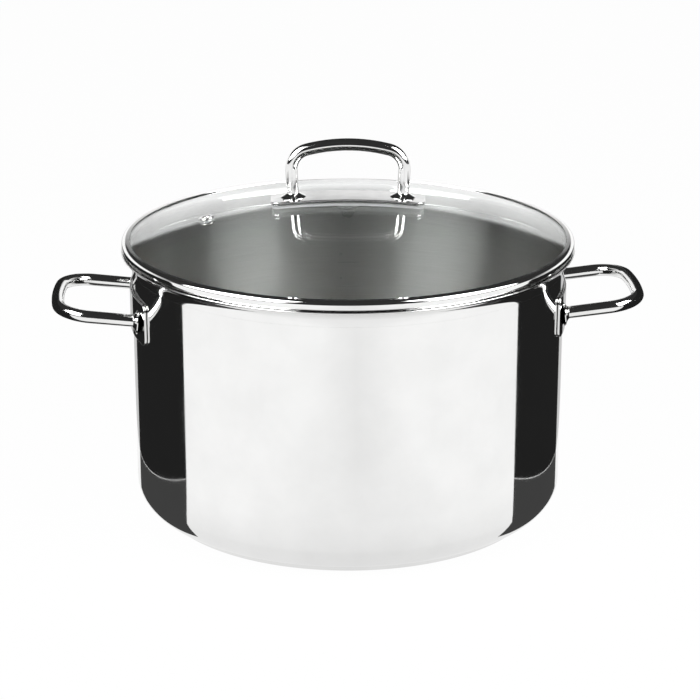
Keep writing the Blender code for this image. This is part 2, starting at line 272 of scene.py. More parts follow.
# ---- finishes
@dataclass(frozen=True)
class PolishedTurnedSteel:
    """Mirror polished sheet with the faint waves and lines that buffing round the pot leaves."""

    name: str
    colour: Colour = (0.88, 0.88, 0.875)
    worn: Colour = (0.84, 0.84, 0.835)
    smooth: float = 0.035
    dull: float = 0.075
    wave: float = 0.00003

    def make(self) -> Material:
        """Builds the material."""
        desk = NodeDesk(self.name)
        wave_place, wave_w = desk.turned_place(9.0, 3.0)
        line_place, line_w = desk.turned_place(2.5, 1400.0)
        waves = desk.noise(wave_place, 1.0, 1.0, wave_w)
        lines = desk.noise(line_place, 1.0, 2.0, line_w)
        haze = desk.noise(desk.place(), 38.0, 4.0)
        desk.set(Base_Color=desk.blend(desk.span(haze, 0.0, 1.0), self.colour, self.worn),
                 Metallic=1.0,
                 Roughness=desk.span(haze, self.smooth, self.dull),
                 Normal=desk.bump(lines, 0.12, 0.000004, desk.bump(waves, 0.6, self.wave)))
        return desk.material


@dataclass(frozen=True)
class SatinTurnedSteel:
    """Sheet brushed round the pot's axis, with fine concentric lines."""

    name: str
    colour: Colour = (0.651, 0.647, 0.638)
    worn: Colour = (0.581, 0.576, 0.568)
    smooth: float = 0.36
    dull: float = 0.42
    stretch: float = 0.88

    def make(self) -> Material:
        """Builds the material."""
        desk = NodeDesk(self.name)
        line_place, line_w = desk.turned_place(4.0, 2600.0)
        lines = desk.noise(line_place, 1.0, 3.0, line_w)
        haze = desk.noise(desk.place(), 22.0, 4.0)
        tangent = desk.node("Tangent", direction_type="RADIAL", axis="Z")
        desk.set(Base_Color=desk.blend(desk.span(lines, 0.0, 1.0), self.colour, self.worn),
                 Metallic=1.0,
                 Roughness=desk.span(haze, self.smooth, self.dull),
                 Anisotropic=self.stretch,
                 Anisotropic_Rotation=0.25,
                 Tangent=tangent.outputs[0],
                 Normal=desk.bump(lines, 0.25, 0.00001))
        return desk.material


@dataclass(frozen=True)
class PolishedSteel:
    """Bright drawn or pressed steel for wires, straps and small parts."""

    name: str
    colour: Colour = (0.84, 0.84, 0.835)
    worn: Colour = (0.78, 0.78, 0.775)
    smooth: float = 0.05
    dull: float = 0.11
    grain: float = 900.0

    def make(self) -> Material:
        """Builds the material."""
        desk = NodeDesk(self.name)
        haze = desk.noise(desk.place(), 55.0, 4.0)
        grain = desk.noise(desk.place(), self.grain, 2.0)
        ripple = desk.noise(desk.place(), 90.0, 1.0)
        desk.set(Base_Color=desk.blend(desk.span(haze, 0.0, 1.0), self.colour, self.worn),
                 Metallic=1.0,
                 Roughness=desk.span(haze, self.smooth, self.dull),
                 Normal=desk.bump(grain, 0.08, 0.000004, desk.bump(ripple, 0.3, 0.00001)))
        return desk.material


@dataclass(frozen=True)
class ClearGlass:
    """Tempered glass with a faint green body colour and the slightest bow."""

    name: str
    colour: Colour = (0.975, 0.99, 0.983)
    edge: Colour = (0.955, 0.985, 0.972)

    def make(self) -> Material:
        """Builds the material."""
        desk = NodeDesk(self.name)
        haze = desk.noise(desk.place(), 14.0, 3.0)
        bow = desk.noise(desk.place(), 9.0, 1.0)
        desk.set(Base_Color=desk.blend(desk.span(haze, 0.0, 1.0), self.colour, self.edge),
                 Roughness=desk.span(haze, 0.0, 0.012),
                 IOR=1.5,
                 Transmission_Weight=1.0,
                 Normal=desk.bump(bow, 0.3, 0.00004))
        return desk.material


@dataclass(frozen=True)
class Silicone:
    """Milky silicone rubber."""

    name: str
    colour: Colour = (0.86, 0.87, 0.87)
    deep: Colour = (0.80, 0.81, 0.81)

    def make(self) -> Material:
        """Builds the material."""
        desk = NodeDesk(self.name)
        cloud = desk.noise(desk.place(), 160.0, 3.0)
        skin = desk.noise(desk.place(), 1500.0, 2.0)
        desk.set(Base_Color=desk.blend(desk.span(cloud, 0.0, 1.0), self.colour, self.deep),
                 Roughness=desk.span(skin, 0.38, 0.55),
                 Transmission_Weight=0.35,
                 Normal=desk.bump(skin, 0.2, 0.00002))
        return desk.material


@dataclass(frozen=True)
class GrainedMetal:
    """Dull metal with an even grain in its colour, roughness and surface."""

    name: str
    colour: Colour
    worn: Colour
    grain: float
    metal: float
    smooth: float
    dull: float
    relief: float

    def make(self) -> Material:
        """Builds the material."""
        desk = NodeDesk(self.name)
        grain = desk.noise(desk.place(), self.grain, 3.0)
        desk.set(Base_Color=desk.blend(grain, self.colour, self.worn),
                 Metallic=self.metal,
                 Roughness=desk.span(grain, self.smooth, self.dull),
                 Normal=desk.bump(grain, self.relief, 0.00002))
        return desk.material


DISC_ALUMINIUM = GrainedMetal("base_aluminium", (0.80, 0.81, 0.82), (0.70, 0.71, 0.72),
                              grain=700.0, metal=1.0, smooth=0.32, dull=0.46, relief=0.3)
ETCHED_MARK = GrainedMetal("etched_scale", (0.46, 0.46, 0.455), (0.58, 0.58, 0.57),
                           grain=2500.0, metal=0.6, smooth=0.5, dull=0.7, relief=0.4)


# ---- the bench: modelling by operators
class Bench:
    """Operators that add and shape a mesh, with nothing else selected."""

    @staticmethod
    def clear() -> None:
        """Deselects every object."""
        if bpy.context.object and bpy.context.object.mode != "OBJECT":
            bpy.ops.object.mode_set(mode="OBJECT")
        bpy.ops.object.select_all(action="DESELECT")

    @classmethod
    def take(cls, piece: Piece) -> None:
        """Selects one piece only and makes it the active one."""
        cls.clear()
        piece.select_set(True)
        bpy.context.view_layer.objects.active = piece

    @staticmethod
    def name(name: str) -> Piece:
        """Names the active object and settles its place in its mesh."""
        piece = bpy.context.object
        piece.name = name
        piece.data.name = name
        bpy.ops.object.transform_apply(location=True, rotation=True, scale=True)
        return piece

    @staticmethod
    def edit(mode: str = "VERT") -> None:
        """Enters edit mode with everything selected."""
        bpy.ops.object.mode_set(mode="EDIT")
        bpy.ops.mesh.select_mode(type=mode)
        bpy.ops.mesh.select_all(action="SELECT")

    @staticmethod
    def done() -> None:
        """Leaves edit mode."""
        bpy.ops.object.mode_set(mode="OBJECT")

    @staticmethod
    def pick_edges(piece: Piece, test: Any) -> None:
        """Selects only the edges that pass a test on the edge."""
        shape = bmesh.from_edit_mesh(piece.data)
        for edge in shape.edges:
            edge.select_set(False)
        for edge in [e for e in shape.edges if test(e)]:
            edge.select_set(True)
        bmesh.update_edit_mesh(piece.data)

    @staticmethod
    def apply(piece: Piece, kind: str, **settings: Any) -> None:
        """Adds a modifier to the piece, sets it and applies it."""
        modifier = piece.modifiers.new(kind.lower(), kind)
        for key, value in settings.items():
            setattr(modifier, key, value)
        bpy.context.view_layer.objects.active = piece
        bpy.ops.object.modifier_apply(modifier=modifier.name)

    @classmethod
    def smooth(cls, piece: Piece, angle: float = 35.0) -> None:
        """Shades smooth below an angle and lets the large faces lead the normals."""
        cls.take(piece)
        bpy.ops.object.shade_smooth_by_angle(angle=math.radians(angle))
        cls.apply(piece, "WEIGHTED_NORMAL", keep_sharp=True)

    @classmethod
    def move(cls, piece: Piece, place: Matrix) -> None:
        """Moves a piece and settles the place in its mesh."""
        cls.take(piece)
        piece.matrix_world = place
        bpy.context.view_layer.update()
        bpy.ops.object.transform_apply(location=True, rotation=True, scale=True)

    @classmethod
    def join(cls, name: str, pieces: list[Piece]) -> Piece:
        """Joins pieces into the first of them and names it."""
        cls.clear()
        for piece in pieces:
            piece.select_set(True)
        bpy.context.view_layer.objects.active = pieces[0]
        bpy.ops.object.join()
        return cls.name(name)

    @classmethod
    def lathe(cls, name: str, profile: Profile, steps: int = 160, ring: bool = False) -> Piece:
        """Draws a profile point by point and spins it about Z.

        Args:
            name: the piece's name.
            profile: (radius, height) points, from one end to the other.
            steps: facets round the axis.
            ring: whether the last point joins the first.

        Returns:
            The closed piece.
        """
        cls.clear()
        points = profile + profile[:1] if ring else profile
        bpy.ops.mesh.primitive_plane_add(size=0.001, location=(points[0][0], 0.0, points[0][1]))
        piece = cls.name(name)
        cls.edit()
        bpy.ops.mesh.merge(type="CENTER")
        for (r0, z0), (r1, z1) in zip(points, points[1:]):
            bpy.ops.mesh.extrude_region_move(TRANSFORM_OT_translate={"value": (r1 - r0, 0.0, z1 - z0)})
        bpy.ops.mesh.select_all(action="SELECT")
        bpy.ops.mesh.spin(steps=steps, angle=2 * math.pi, center=(0, 0, 0), axis=(0, 0, 1))
        bpy.ops.mesh.select_all(action="SELECT")
        bpy.ops.mesh.remove_doubles(threshold=0.000004)
        bpy.ops.mesh.normals_make_consistent(inside=False)
        cls.done()
        return piece

    @classmethod
    def bent_plate(cls, name: str, length: float, width: float, thickness: float, corner: float,
                   seat: float, round_over: float, cuts: int) -> Piece:
        """A stamped plate, bent about an axis parallel to Z.

        It stands at -Y of the axis, which is the Z axis, with its inside at the seat radius.

        Args:
            name: the piece's name.
            length: along the bend.
            width: along Z.
            thickness: outwards from the seat.
            corner: radius of the outline's corners.
            seat: inside radius of the bend.
            round_over: rounding of the stamped edges.
            cuts: sections along the bend.

        Returns:
            The piece.
        """
        cls.clear()
        bpy.ops.mesh.primitive_cube_add(size=1.0, location=(0.0, -thickness / 2, 0.0))
        bpy.context.object.scale = (length, thickness, width)
        piece = cls.name(name)
        cls.edit("EDGE")
        cls.pick_edges(piece, lambda e: abs(e.verts[0].co.y - e.verts[1].co.y) > thickness / 2)
        bpy.ops.mesh.bevel(offset=corner, segments=10, affect="EDGES")
        cls.pick_edges(piece, lambda e: abs(e.verts[0].co.y - e.verts[1].co.y) < thickness / 4)
        bpy.ops.mesh.bevel(offset=round_over, segments=3, affect="EDGES")
        for i in range(1, cuts):
            bpy.ops.mesh.select_all(action="SELECT")
            bpy.ops.mesh.bisect(plane_co=(length * (i / cuts - 0.5), 0, 0), plane_no=(1, 0, 0))
        cls.done()
        cls.apply(piece, "SIMPLE_DEFORM", deform_method="BEND", deform_axis="Z", angle=length / seat)
        cls.move(piece, Matrix.Translation((0, -seat, 0)))
        return piece


def arc(centre: tuple[float, float], radius: float, start: float, end: float, count: int) -> Profile:
    """Points on an arc in (radius, height), both ends included.

    Args:
        centre: the arc's centre.
        radius: its radius.
        start: first angle.
        end: last angle.
        count: steps between them.

    Returns:
        The points.
    """
    return [(centre[0] + radius * math.cos(start + (end - start) * i / count),
             centre[1] + radius * math.sin(start + (end - start) * i / count)) for i in range(count + 1)]


def wear(piece: Piece, material: Material, body: Body, slot: str,
         *nodes: str) -> Piece:
    """Gives a piece its finish and its body, and hides the CAD nodes it stands for.

    Args:
        piece: the finished mesh.
        material: its finish.
        body: the CAD body it rides on.
        slot: the record's material slot; not used.
        nodes: CAD nodes that it replaces.

    Returns:
        The piece.
    """
    if not piece.data.materials:
        piece.data.materials.append(material)
    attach(piece, body.value)
    if nodes:
        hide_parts(*nodes)
    log.info("%s: %d faces on %s", piece.name, len(piece.data.polygons), body.value)
    return piece


# ---- the pot
@dataclass
class PotShell:
    """The pressed body: floor, wall and pouring rim in one sheet."""

    sizes: PotSizes = POT
    satin_top: float = 0.1652
    outside: PolishedTurnedSteel = PolishedTurnedSteel("pot_mirror_steel")
    inside: SatinTurnedSteel = SatinTurnedSteel("pot_satin_inside")

    def profile(self) -> Profile:
        """The sheet's section from the middle of the floor, over the rim and back."""
        s = self.sizes
        lip_end = math.pi - s.rim_angle
        rim = (s.radius + s.rim_arc, s.rim_start)
        lip = (rim[0] + (s.rim_arc + s.wall / 2) * math.cos(lip_end),
               rim[1] + (s.rim_arc + s.wall / 2) * math.sin(lip_end))
        corner = (s.radius - s.corner, s.floor + s.corner)
        flat = [r * corner[0] for r in (0.0, 0.25, 0.5, 0.75, 0.96)]
        wall_foot = s.floor + s.corner
        up = [wall_foot + (self.satin_top - wall_foot) * i / 8 for i in (0.3, 1, 2, 3, 4, 5, 6, 7, 8)]
        up.append(s.rim_start - 0.0008)
        points = [(r, s.floor + s.wall) for r in flat]
        points += arc(corner, s.corner - s.wall, -math.pi / 2, 0.0, 12)
        points += [(s.bore, z) for z in up]
        points += arc(rim, s.rim_arc + s.wall, math.pi, lip_end, 10)
        points += arc(lip, s.wall / 2, lip_end, lip_end - math.pi, 6)[1:-1]
        points += arc(rim, s.rim_arc, lip_end, math.pi, 10)
        points += [(s.radius, z) for z in reversed(up)]
        points += arc(corner, s.corner, 0.0, -math.pi / 2, 12)
        points += [(r, s.floor) for r in reversed(flat)]
        return points

    def build(self) -> Piece:
        """Spins the sheet and gives its inside the satin finish."""
        piece = Bench.lathe("pot_shell", self.profile(), 192)
        piece.data.materials.append(self.outside.make())
        piece.data.materials.append(self.inside.make())
        s = self.sizes
        for face in piece.data.polygons:
            reach = math.hypot(face.center.x, face.center.y)
            inward = face.normal.x * face.center.x + face.normal.y * face.center.y < -1e-5
            on_floor = face.normal.z > 0.5 and face.center.z < s.floor + s.corner
            below = s.floor + s.wall / 2 < face.center.z < self.satin_top
            if reach < s.bore + 0.0001 and below and (inward or on_floor):
                face.material_index = 1
        Bench.smooth(piece, 50.0)
        return wear(piece, piece.data.materials[0], Body.POT, "pot_body", "pot_body")


@dataclass
class BaseCap:
    """The steel cap pressed round the aluminium disc under the floor."""

    inset: float = 0.0147
    sheet: float = 0.0006
    edge: float = 0.0010
    groove: float = 0.088
    steel: PolishedTurnedSteel = PolishedTurnedSteel("base_mirror_steel", wave=0.00001)
    under: SatinTurnedSteel = SatinTurnedSteel("base_turned_underside")

    def build(self) -> Piece:
        """Spins the cap, with a shallow ring pressed into its underside."""
        outer = POT.radius - self.inset
        inner = outer - self.sheet
        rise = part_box("base_shell")[1].z
        ring = self.groove
        points = [(0.0, self.sheet), (outer * 0.5, self.sheet), (outer * 0.9, self.sheet)]
        points += arc((outer - self.edge, self.edge), self.edge - self.sheet, -math.pi / 2, 0.0, 4)
        points += [(inner, rise - 0.0001), (inner + 0.0001, rise)]
        points += [(outer - 0.0001, rise), (outer, rise - 0.0001)]
        points += arc((outer - self.edge, self.edge), self.edge, 0.0, -math.pi / 2, 8)
        points += [(outer * 0.95, 0.0), (ring + 0.0016, 0.0), (ring + 0.0012, 0.0002), (ring, 0.0003),
                   (ring - 0.0012, 0.0002), (ring - 0.0016, 0.0), (0.05, 0.0), (0.0, 0.0)]
        piece = Bench.lathe("base_cap", points, 160)
        piece.data.materials.append(self.steel.make())
        piece.data.materials.append(self.under.make())
        for face in piece.data.polygons:
            if face.normal.z < -0.9:
                face.material_index = 1
        Bench.smooth(piece)
        return wear(piece, piece.data.materials[0], Body.POT, "base_shell", "base_shell")


@dataclass(frozen=True)
class BowSizes:
    """A bent wire handle, measured along its own plane."""

    spacing: float
    reach: float
    corner: float
    crown: float
    splay: float
    seat: float
    wire: float = 0.0080
    foot: float = 0.0083
    foot_height: float = 0.0028
    sunk: float = 0.0006


@dataclass
class WireBow:
    """Models a wire bow: a flared foot, a leg, a bent corner and half the bar, then its mirror."""

    name: str
    sizes: BowSizes
    facets: int = 40

    def build(self) -> Piece:
        """Extrudes and spins one half in the XZ plane and mirrors it.

        Returns:
            The bow, with its feet towards the Y axis and its bar at +Z.
        """
        s = self.sizes
        turn_end = math.pi / 2 - s.crown
        share = (1 - math.sin(turn_end)) / math.cos(turn_end)
        side = s.spacing / 2 - s.corner * (math.cos(s.splay) - math.cos(turn_end))
        leg = (s.reach - s.corner * (math.sin(turn_end) + math.sin(s.splay)) - side * share) / (
            math.cos(s.splay) + share * math.sin(s.splay))
        bar = (side + leg * math.sin(s.splay)) / math.cos(turn_end)
        base = math.sqrt(s.seat ** 2 - (s.spacing / 2) ** 2)
        along = Vector((math.sin(s.splay), 0.0, math.cos(s.splay)))
        start = Vector((s.spacing / 2, 0.0, base))

        rings = [(-s.sunk, s.foot), (0.0, s.foot)]
        for i in range(1, 9):
            share_up = i / 8
            rings.append((s.foot_height * share_up,
                          s.wire / 2 + (s.foot - s.wire / 2) * (1 - share_up) ** 1.5))
        rings += [(leg * 0.4, s.wire / 2), (leg * 0.7, s.wire / 2), (leg, s.wire / 2)]

        Bench.clear()
        first = start + along * rings[0][0]
        bpy.ops.mesh.primitive_circle_add(vertices=self.facets, radius=s.foot, fill_type="NOTHING",
                                          location=first, rotation=(0.0, s.splay, 0.0))
        piece = Bench.name(self.name)
        Bench.edit("EDGE")
        for (h0, r0), (h1, r1) in zip(rings, rings[1:]):
            bpy.ops.mesh.extrude_region_move(TRANSFORM_OT_translate={"value": along * (h1 - h0)})
            if abs(r1 - r0) > 1e-7:
                bpy.ops.transform.resize(value=(r1 / r0,) * 3, center_override=start + along * h1)
        top = start + along * leg
        pivot = top - Vector((math.cos(s.splay), 0.0, -math.sin(s.splay))) * s.corner
        bpy.ops.mesh.spin(steps=14, angle=turn_end + s.splay, center=pivot, axis=(0, 1, 0))
        bend_end = pivot + Vector((math.cos(turn_end), 0.0, math.sin(turn_end))) * s.corner
        hub = bend_end - Vector((math.cos(turn_end), 0.0, math.sin(turn_end))) * bar
        bpy.ops.mesh.spin(steps=8, angle=s.crown, center=hub, axis=(0, 1, 0))
        Bench.done()
        Bench.apply(piece, "MIRROR", use_axis=(True, False, False), use_clip=True, merge_threshold=0.0001)
        Bench.edit("EDGE")
        Bench.pick_edges(piece, lambda e: e.is_boundary)
        bpy.ops.mesh.edge_face_add()
        bpy.ops.mesh.select_all(action="SELECT")
        bpy.ops.mesh.remove_doubles(threshold=0.000004)
        bpy.ops.mesh.normals_make_consistent(inside=False)
        Bench.done()
        return piece


@dataclass
class SideHandle:
    """One side handle: a strap on the wall and a bow welded to it by its flared feet."""

    side: Side
    height: float = 0.1393
    length: float = 0.1080
    width: float = 0.0270
    thickness: float = 0.0015
    corner: float = 0.0050
    rise: float = math.radians(6.5)
    spacing: float = 0.0810
    gap: float = 0.0003
    strap_steel: PolishedSteel = PolishedSteel("side_strap_steel", smooth=0.04, dull=0.08)
    bow_steel: PolishedSteel = PolishedSteel("side_bow_steel")

    def build(self) -> list[Piece]:
        """Builds the strap and the bow of this side."""
        word = self.side.name.lower()
        turn = Matrix.Rotation(self.side.value, 4, "Z")
        seat = POT.radius + self.gap
        foot = seat + self.thickness + self.gap
        strap = Bench.bent_plate(f"side_strap_{word}", self.length, self.width, self.thickness,
                                 self.corner, seat, 0.00045, 36)
        Bench.move(strap, turn @ Matrix.Translation((0, 0, self.height)))
        Bench.smooth(strap)

        bow = WireBow(f"side_bow_{word}", BowSizes(
            spacing=self.spacing, reach=0.0524, corner=0.0215, crown=math.radians(6), splay=0.0,
            seat=foot)).build()
        base = math.sqrt(foot ** 2 - (self.spacing / 2) ** 2)
        tilt = (Matrix.Translation((0, 0, base)) @ Matrix.Rotation(-self.rise, 4, "X")
                @ Matrix.Translation((0, 0, -base)))
        outwards = Matrix(((1, 0, 0, 0), (0, 0, -1, 0), (0, 1, 0, 0), (0, 0, 0, 1)))
        Bench.move(bow, turn @ Matrix.Translation((0, 0, self.height)) @ outwards @ tilt)
        Bench.smooth(bow)
        return [wear(strap, self.strap_steel.make(), Body.POT, "handle_plate", f"handle_plate_{word}"),
                wear(bow, self.bow_steel.make(), Body.POT, "handle_bow", f"handle_bow_{word}")]


@dataclass
class LitreScale:
    """Scale lines and dots etched on the inner wall, opposite the front.

    Their spacing is not one litre of this pot, and they carry no figures.
    """

    lowest: float = 0.0687
    spacing: float = 0.0179
    count: int = 4
    length: float = 0.0150
    turn: float = math.radians(180 - 3.6)
    mark: GrainedMetal = ETCHED_MARK

    def build(self) -> Piece:
        """Builds each line with its dot and joins them into one piece."""
        seat = POT.bore - 0.00010
        marks = []
        for i in range(self.count):
            z = self.lowest + self.spacing * i
            line = Bench.bent_plate(f"scale_line_{i}", self.length, 0.0007, 0.00015, 0.0003, seat, 0.00004, 6)
            Bench.move(line, Matrix.Rotation(self.turn, 4, "Z") @ Matrix.Translation((0, 0, z)))
            dot = Bench.bent_plate(f"scale_dot_{i}", 0.0020, 0.0020, 0.00015, 0.00095, seat, 0.00004, 3)
            Bench.move(dot, Matrix.Rotation(self.turn + 0.035, 4, "Z")
                       @ Matrix.Translation((0, 0, z + 0.0062)))
            marks += [line, dot]
        piece = Bench.join("litre_scale", marks)
        Bench.smooth(piece)
        return wear(piece, self.mark.make(), Body.POT, "pot_body")


# ---- the lid
def along_dome(turn: float, radius: float) -> Matrix:
    """The place of a piece that stands square on the dome.

    Args:
        turn: angle about Z.
        radius: distance from the lid's axis on the upper face.

    Returns:
        A place whose origin is the dome's centre and whose Z runs through the piece.
    """
    tilt = math.asin(radius / DOME.outer)
    return (Matrix.Translation((0, 0, DOME.centre)) @ Matrix.Rotation(turn, 4, "Z")
            @ Matrix.Rotation(tilt, 4, "Y"))


@dataclass
class SteamVent:
    """A pressed eyelet with its silicone washer under the glass."""

    turn: float = math.radians(184.6 - 3.6)
    reach: float = 0.0917
    bore: float = 0.0018
    tube: float = 0.0025
    flange: float = 0.0050
    height: float = 0.0010
    washer: float = 0.0008
    gap: float = 0.0003
    steel: PolishedSteel = PolishedSteel("vent_steel")
    rubber: Silicone = Silicone("vent_silicone")

    def build(self) -> list[Piece]:
        """Spins the eyelet and its washer along the vent's own axis."""
        over = DOME.outer + self.gap / 2
        under = DOME.inner - self.gap / 2 - self.washer
        roll = self.height / 2
        eyelet = arc((self.bore + 0.0009, over + self.height - 0.0009), 0.0009, math.pi, math.pi / 2, 6)
        eyelet += [(self.flange - 0.0012, over + self.height * 0.92)]
        eyelet += arc((self.flange - roll, over + roll), roll, math.pi * 0.42, -math.pi / 2, 6)
        eyelet += [(self.tube, over), (self.tube, under), (self.flange - roll, under)]
        eyelet += arc((self.flange - roll, under - roll), roll, math.pi / 2, -math.pi / 2, 6)
        eyelet += [(self.bore + 0.0003, under - self.height), (self.bore, under - self.height * 0.7)]
        face = DOME.inner - self.gap / 2
        rim = [(self.tube + 0.0001, face), (self.flange - 0.0002, face),
               (self.flange, face - 0.0002), (self.flange, under + 0.0002),
               (self.flange - 0.0002, under), (self.tube + 0.0001, under)]
        pieces = [Bench.lathe("vent_eyelet_rolled", eyelet, 56, ring=True),
                  Bench.lathe("vent_washer_soft", rim, 48, ring=True)]
        for piece in pieces:
            Bench.move(piece, along_dome(self.turn, self.reach))
            Bench.smooth(piece)
        return [wear(pieces[0], self.steel.make(), Body.LID, "vent_eyelet", "vent_eyelet"),
                wear(pieces[1], self.rubber.make(), Body.LID, "silicone", "vent_washer")]


@dataclass
class GlassDome:
    """The tempered glass, ground round at its edge, with holes for the stud and the vent."""

    hole: float = 0.0041
    vent: SteamVent = field(default_factory=SteamVent)
    glass: ClearGlass = ClearGlass("lid_clear_glass")

    def build(self) -> Piece:
        """Spins the dome as a ring round the stud's hole and drills the vent's hole."""
        edge_over = math.asin(DOME.edge / DOME.outer)
        edge_under = math.asin(DOME.edge / DOME.inner)
        hole_over, hole_under = math.asin(self.hole / DOME.outer), math.asin(self.hole / DOME.inner)
        centre = (0.0, DOME.centre)
        quarter = math.pi / 2
        points = arc(centre, DOME.outer, quarter - hole_over, quarter - edge_over + 0.0012, 40)
        points += arc(centre, DOME.inner, quarter - edge_under + 0.0012, quarter - hole_under, 40)
        rim_top, rim_low = points[40], points[41]
        swell = [(DOME.edge - 0.00012, rim_top[1] - 0.0006), (DOME.edge, (rim_top[1] + rim_low[1]) / 2),
                 (DOME.edge - 0.00012, rim_low[1] + 0.0006)]
        points = points[:41] + swell + points[41:]
        piece = Bench.lathe("lid_glass_dome", points, 192, ring=True)
        Bench.clear()
        bpy.ops.mesh.primitive_cylinder_add(vertices=40, radius=self.vent.tube + 0.0002, depth=0.02)
        drill = Bench.name("drill")
        Bench.move(drill, along_dome(self.vent.turn, self.vent.reach)
                   @ Matrix.Translation((0, 0, (DOME.inner + DOME.outer) / 2)))
        Bench.apply(piece, "BOOLEAN", operation="DIFFERENCE", solver="EXACT", object=drill)
        bpy.data.objects.remove(drill, do_unlink=True)
        Bench.smooth(piece)
        return wear(piece, self.glass.make(), Body.LID, "lid_glass", "lid_glass")


@dataclass
class RimBand:
    """The rolled steel band that grips the glass and centres the lid with its skirt."""

    radius: float = 0.1470
    top_round: float = 0.0028
    foot_round: float = 0.0036
    ledge: float = 0.0009
    grip: float = 0.0050
    strip: float = 0.0006
    gap: float = 0.0003
    steel: PolishedTurnedSteel = PolishedTurnedSteel("lid_band_steel", wave=0.00001)

    def build(self) -> Piece:
        """Spins the band's section."""
        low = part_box("lid_rim_band")[0].z
        bottom = low + 0.0067
        skirt = POT.bore - self.gap
        inner = skirt - self.strip
        grip = self.radius - self.grip
        throat = DOME.edge + self.gap
        crest = DOME.over(grip) + self.gap + self.strip
        top = (self.radius - self.top_round, crest - self.top_round)
        foot = (self.radius - self.foot_round, bottom + self.foot_round)
        points = [(grip, crest - 0.0002), (grip + 0.0001, crest)]
        points += arc(top, self.top_round, math.pi / 2, 0.0, 12)
        points += arc(foot, self.foot_round, 0.0, -math.pi / 2, 10)
        points += [(skirt + 0.0004, bottom), (skirt + 0.0001, bottom - 0.0001), (skirt, bottom - 0.0004)]
        points += [(skirt, low + 0.0003), (skirt - 0.0001, low + 0.00007), (skirt - 0.0003, low),
                   (inner + 0.0001, low + 0.00007), (inner, low + 0.0002)]
        points += [(inner, bottom + self.strip), (grip - self.ledge, bottom + self.strip),
                   (grip, DOME.under(grip) - self.gap), (throat, DOME.under(throat) - self.gap),
                   (throat, DOME.over(throat) + self.gap), (grip, DOME.over(grip) + 0.00005)]
        piece = Bench.lathe("lid_band_rolled", points, 192, ring=True)
        Bench.smooth(piece, 40.0)
        return wear(piece, self.steel.make(), Body.LID, "lid_rim_band", "lid_rim_band")


@dataclass
class LidHandle:
    """The lid's strap on its soft pad, with its bow."""

    length: float = 0.1000
    width: float = 0.0250
    thickness: float = 0.0020
    corner: float = 0.0060
    pad: float = 0.0021
    margin: float = 0.0012
    gap: float = 0.0003
    strap_steel: PolishedSteel = PolishedSteel("lid_strap_steel", smooth=0.06, dull=0.12)
    bow_steel: PolishedSteel = PolishedSteel("lid_bow_steel")
    rubber: Silicone = Silicone("lid_pad_silicone")

    def build(self) -> list[Piece]:
        """Builds the pad, the strap and the bow over the middle of the dome."""
        upright = (Matrix.Rotation(LID_TURN, 4, "Z") @ Matrix.Translation((0, 0, DOME.centre)))
        lay = upright @ Matrix.Rotation(-math.pi / 2, 4, "X")
        seat = DOME.outer + self.pad + 2 * self.gap
        strap = Bench.bent_plate("lid_strap", self.length, self.width, self.thickness, self.corner,
                                 seat, 0.0005, 24)
        pad = Bench.bent_plate("lid_pad_soft", self.length - 2 * self.margin, self.width - 2 * self.margin,
                               self.pad + 0.0003, self.corner - self.margin, DOME.outer + 0.0001, 0.0004, 24)
        for piece in (strap, pad):
            Bench.move(piece, lay)
            Bench.smooth(piece)
        bow = WireBow("lid_bow", BowSizes(
            spacing=0.0710, reach=0.0345, corner=0.0130, crown=math.radians(14.5), splay=math.radians(3),
            seat=seat + self.thickness + self.gap)).build()
        Bench.move(bow, upright)
        Bench.smooth(bow)
        return [wear(strap, self.strap_steel.make(), Body.LID, "lid_handle_plate", "lid_handle_plate"),
                wear(pad, self.rubber.make(), Body.LID, "silicone", "lid_pad"),
                wear(bow, self.bow_steel.make(), Body.LID, "lid_handle_bow", "lid_handle_bow")]


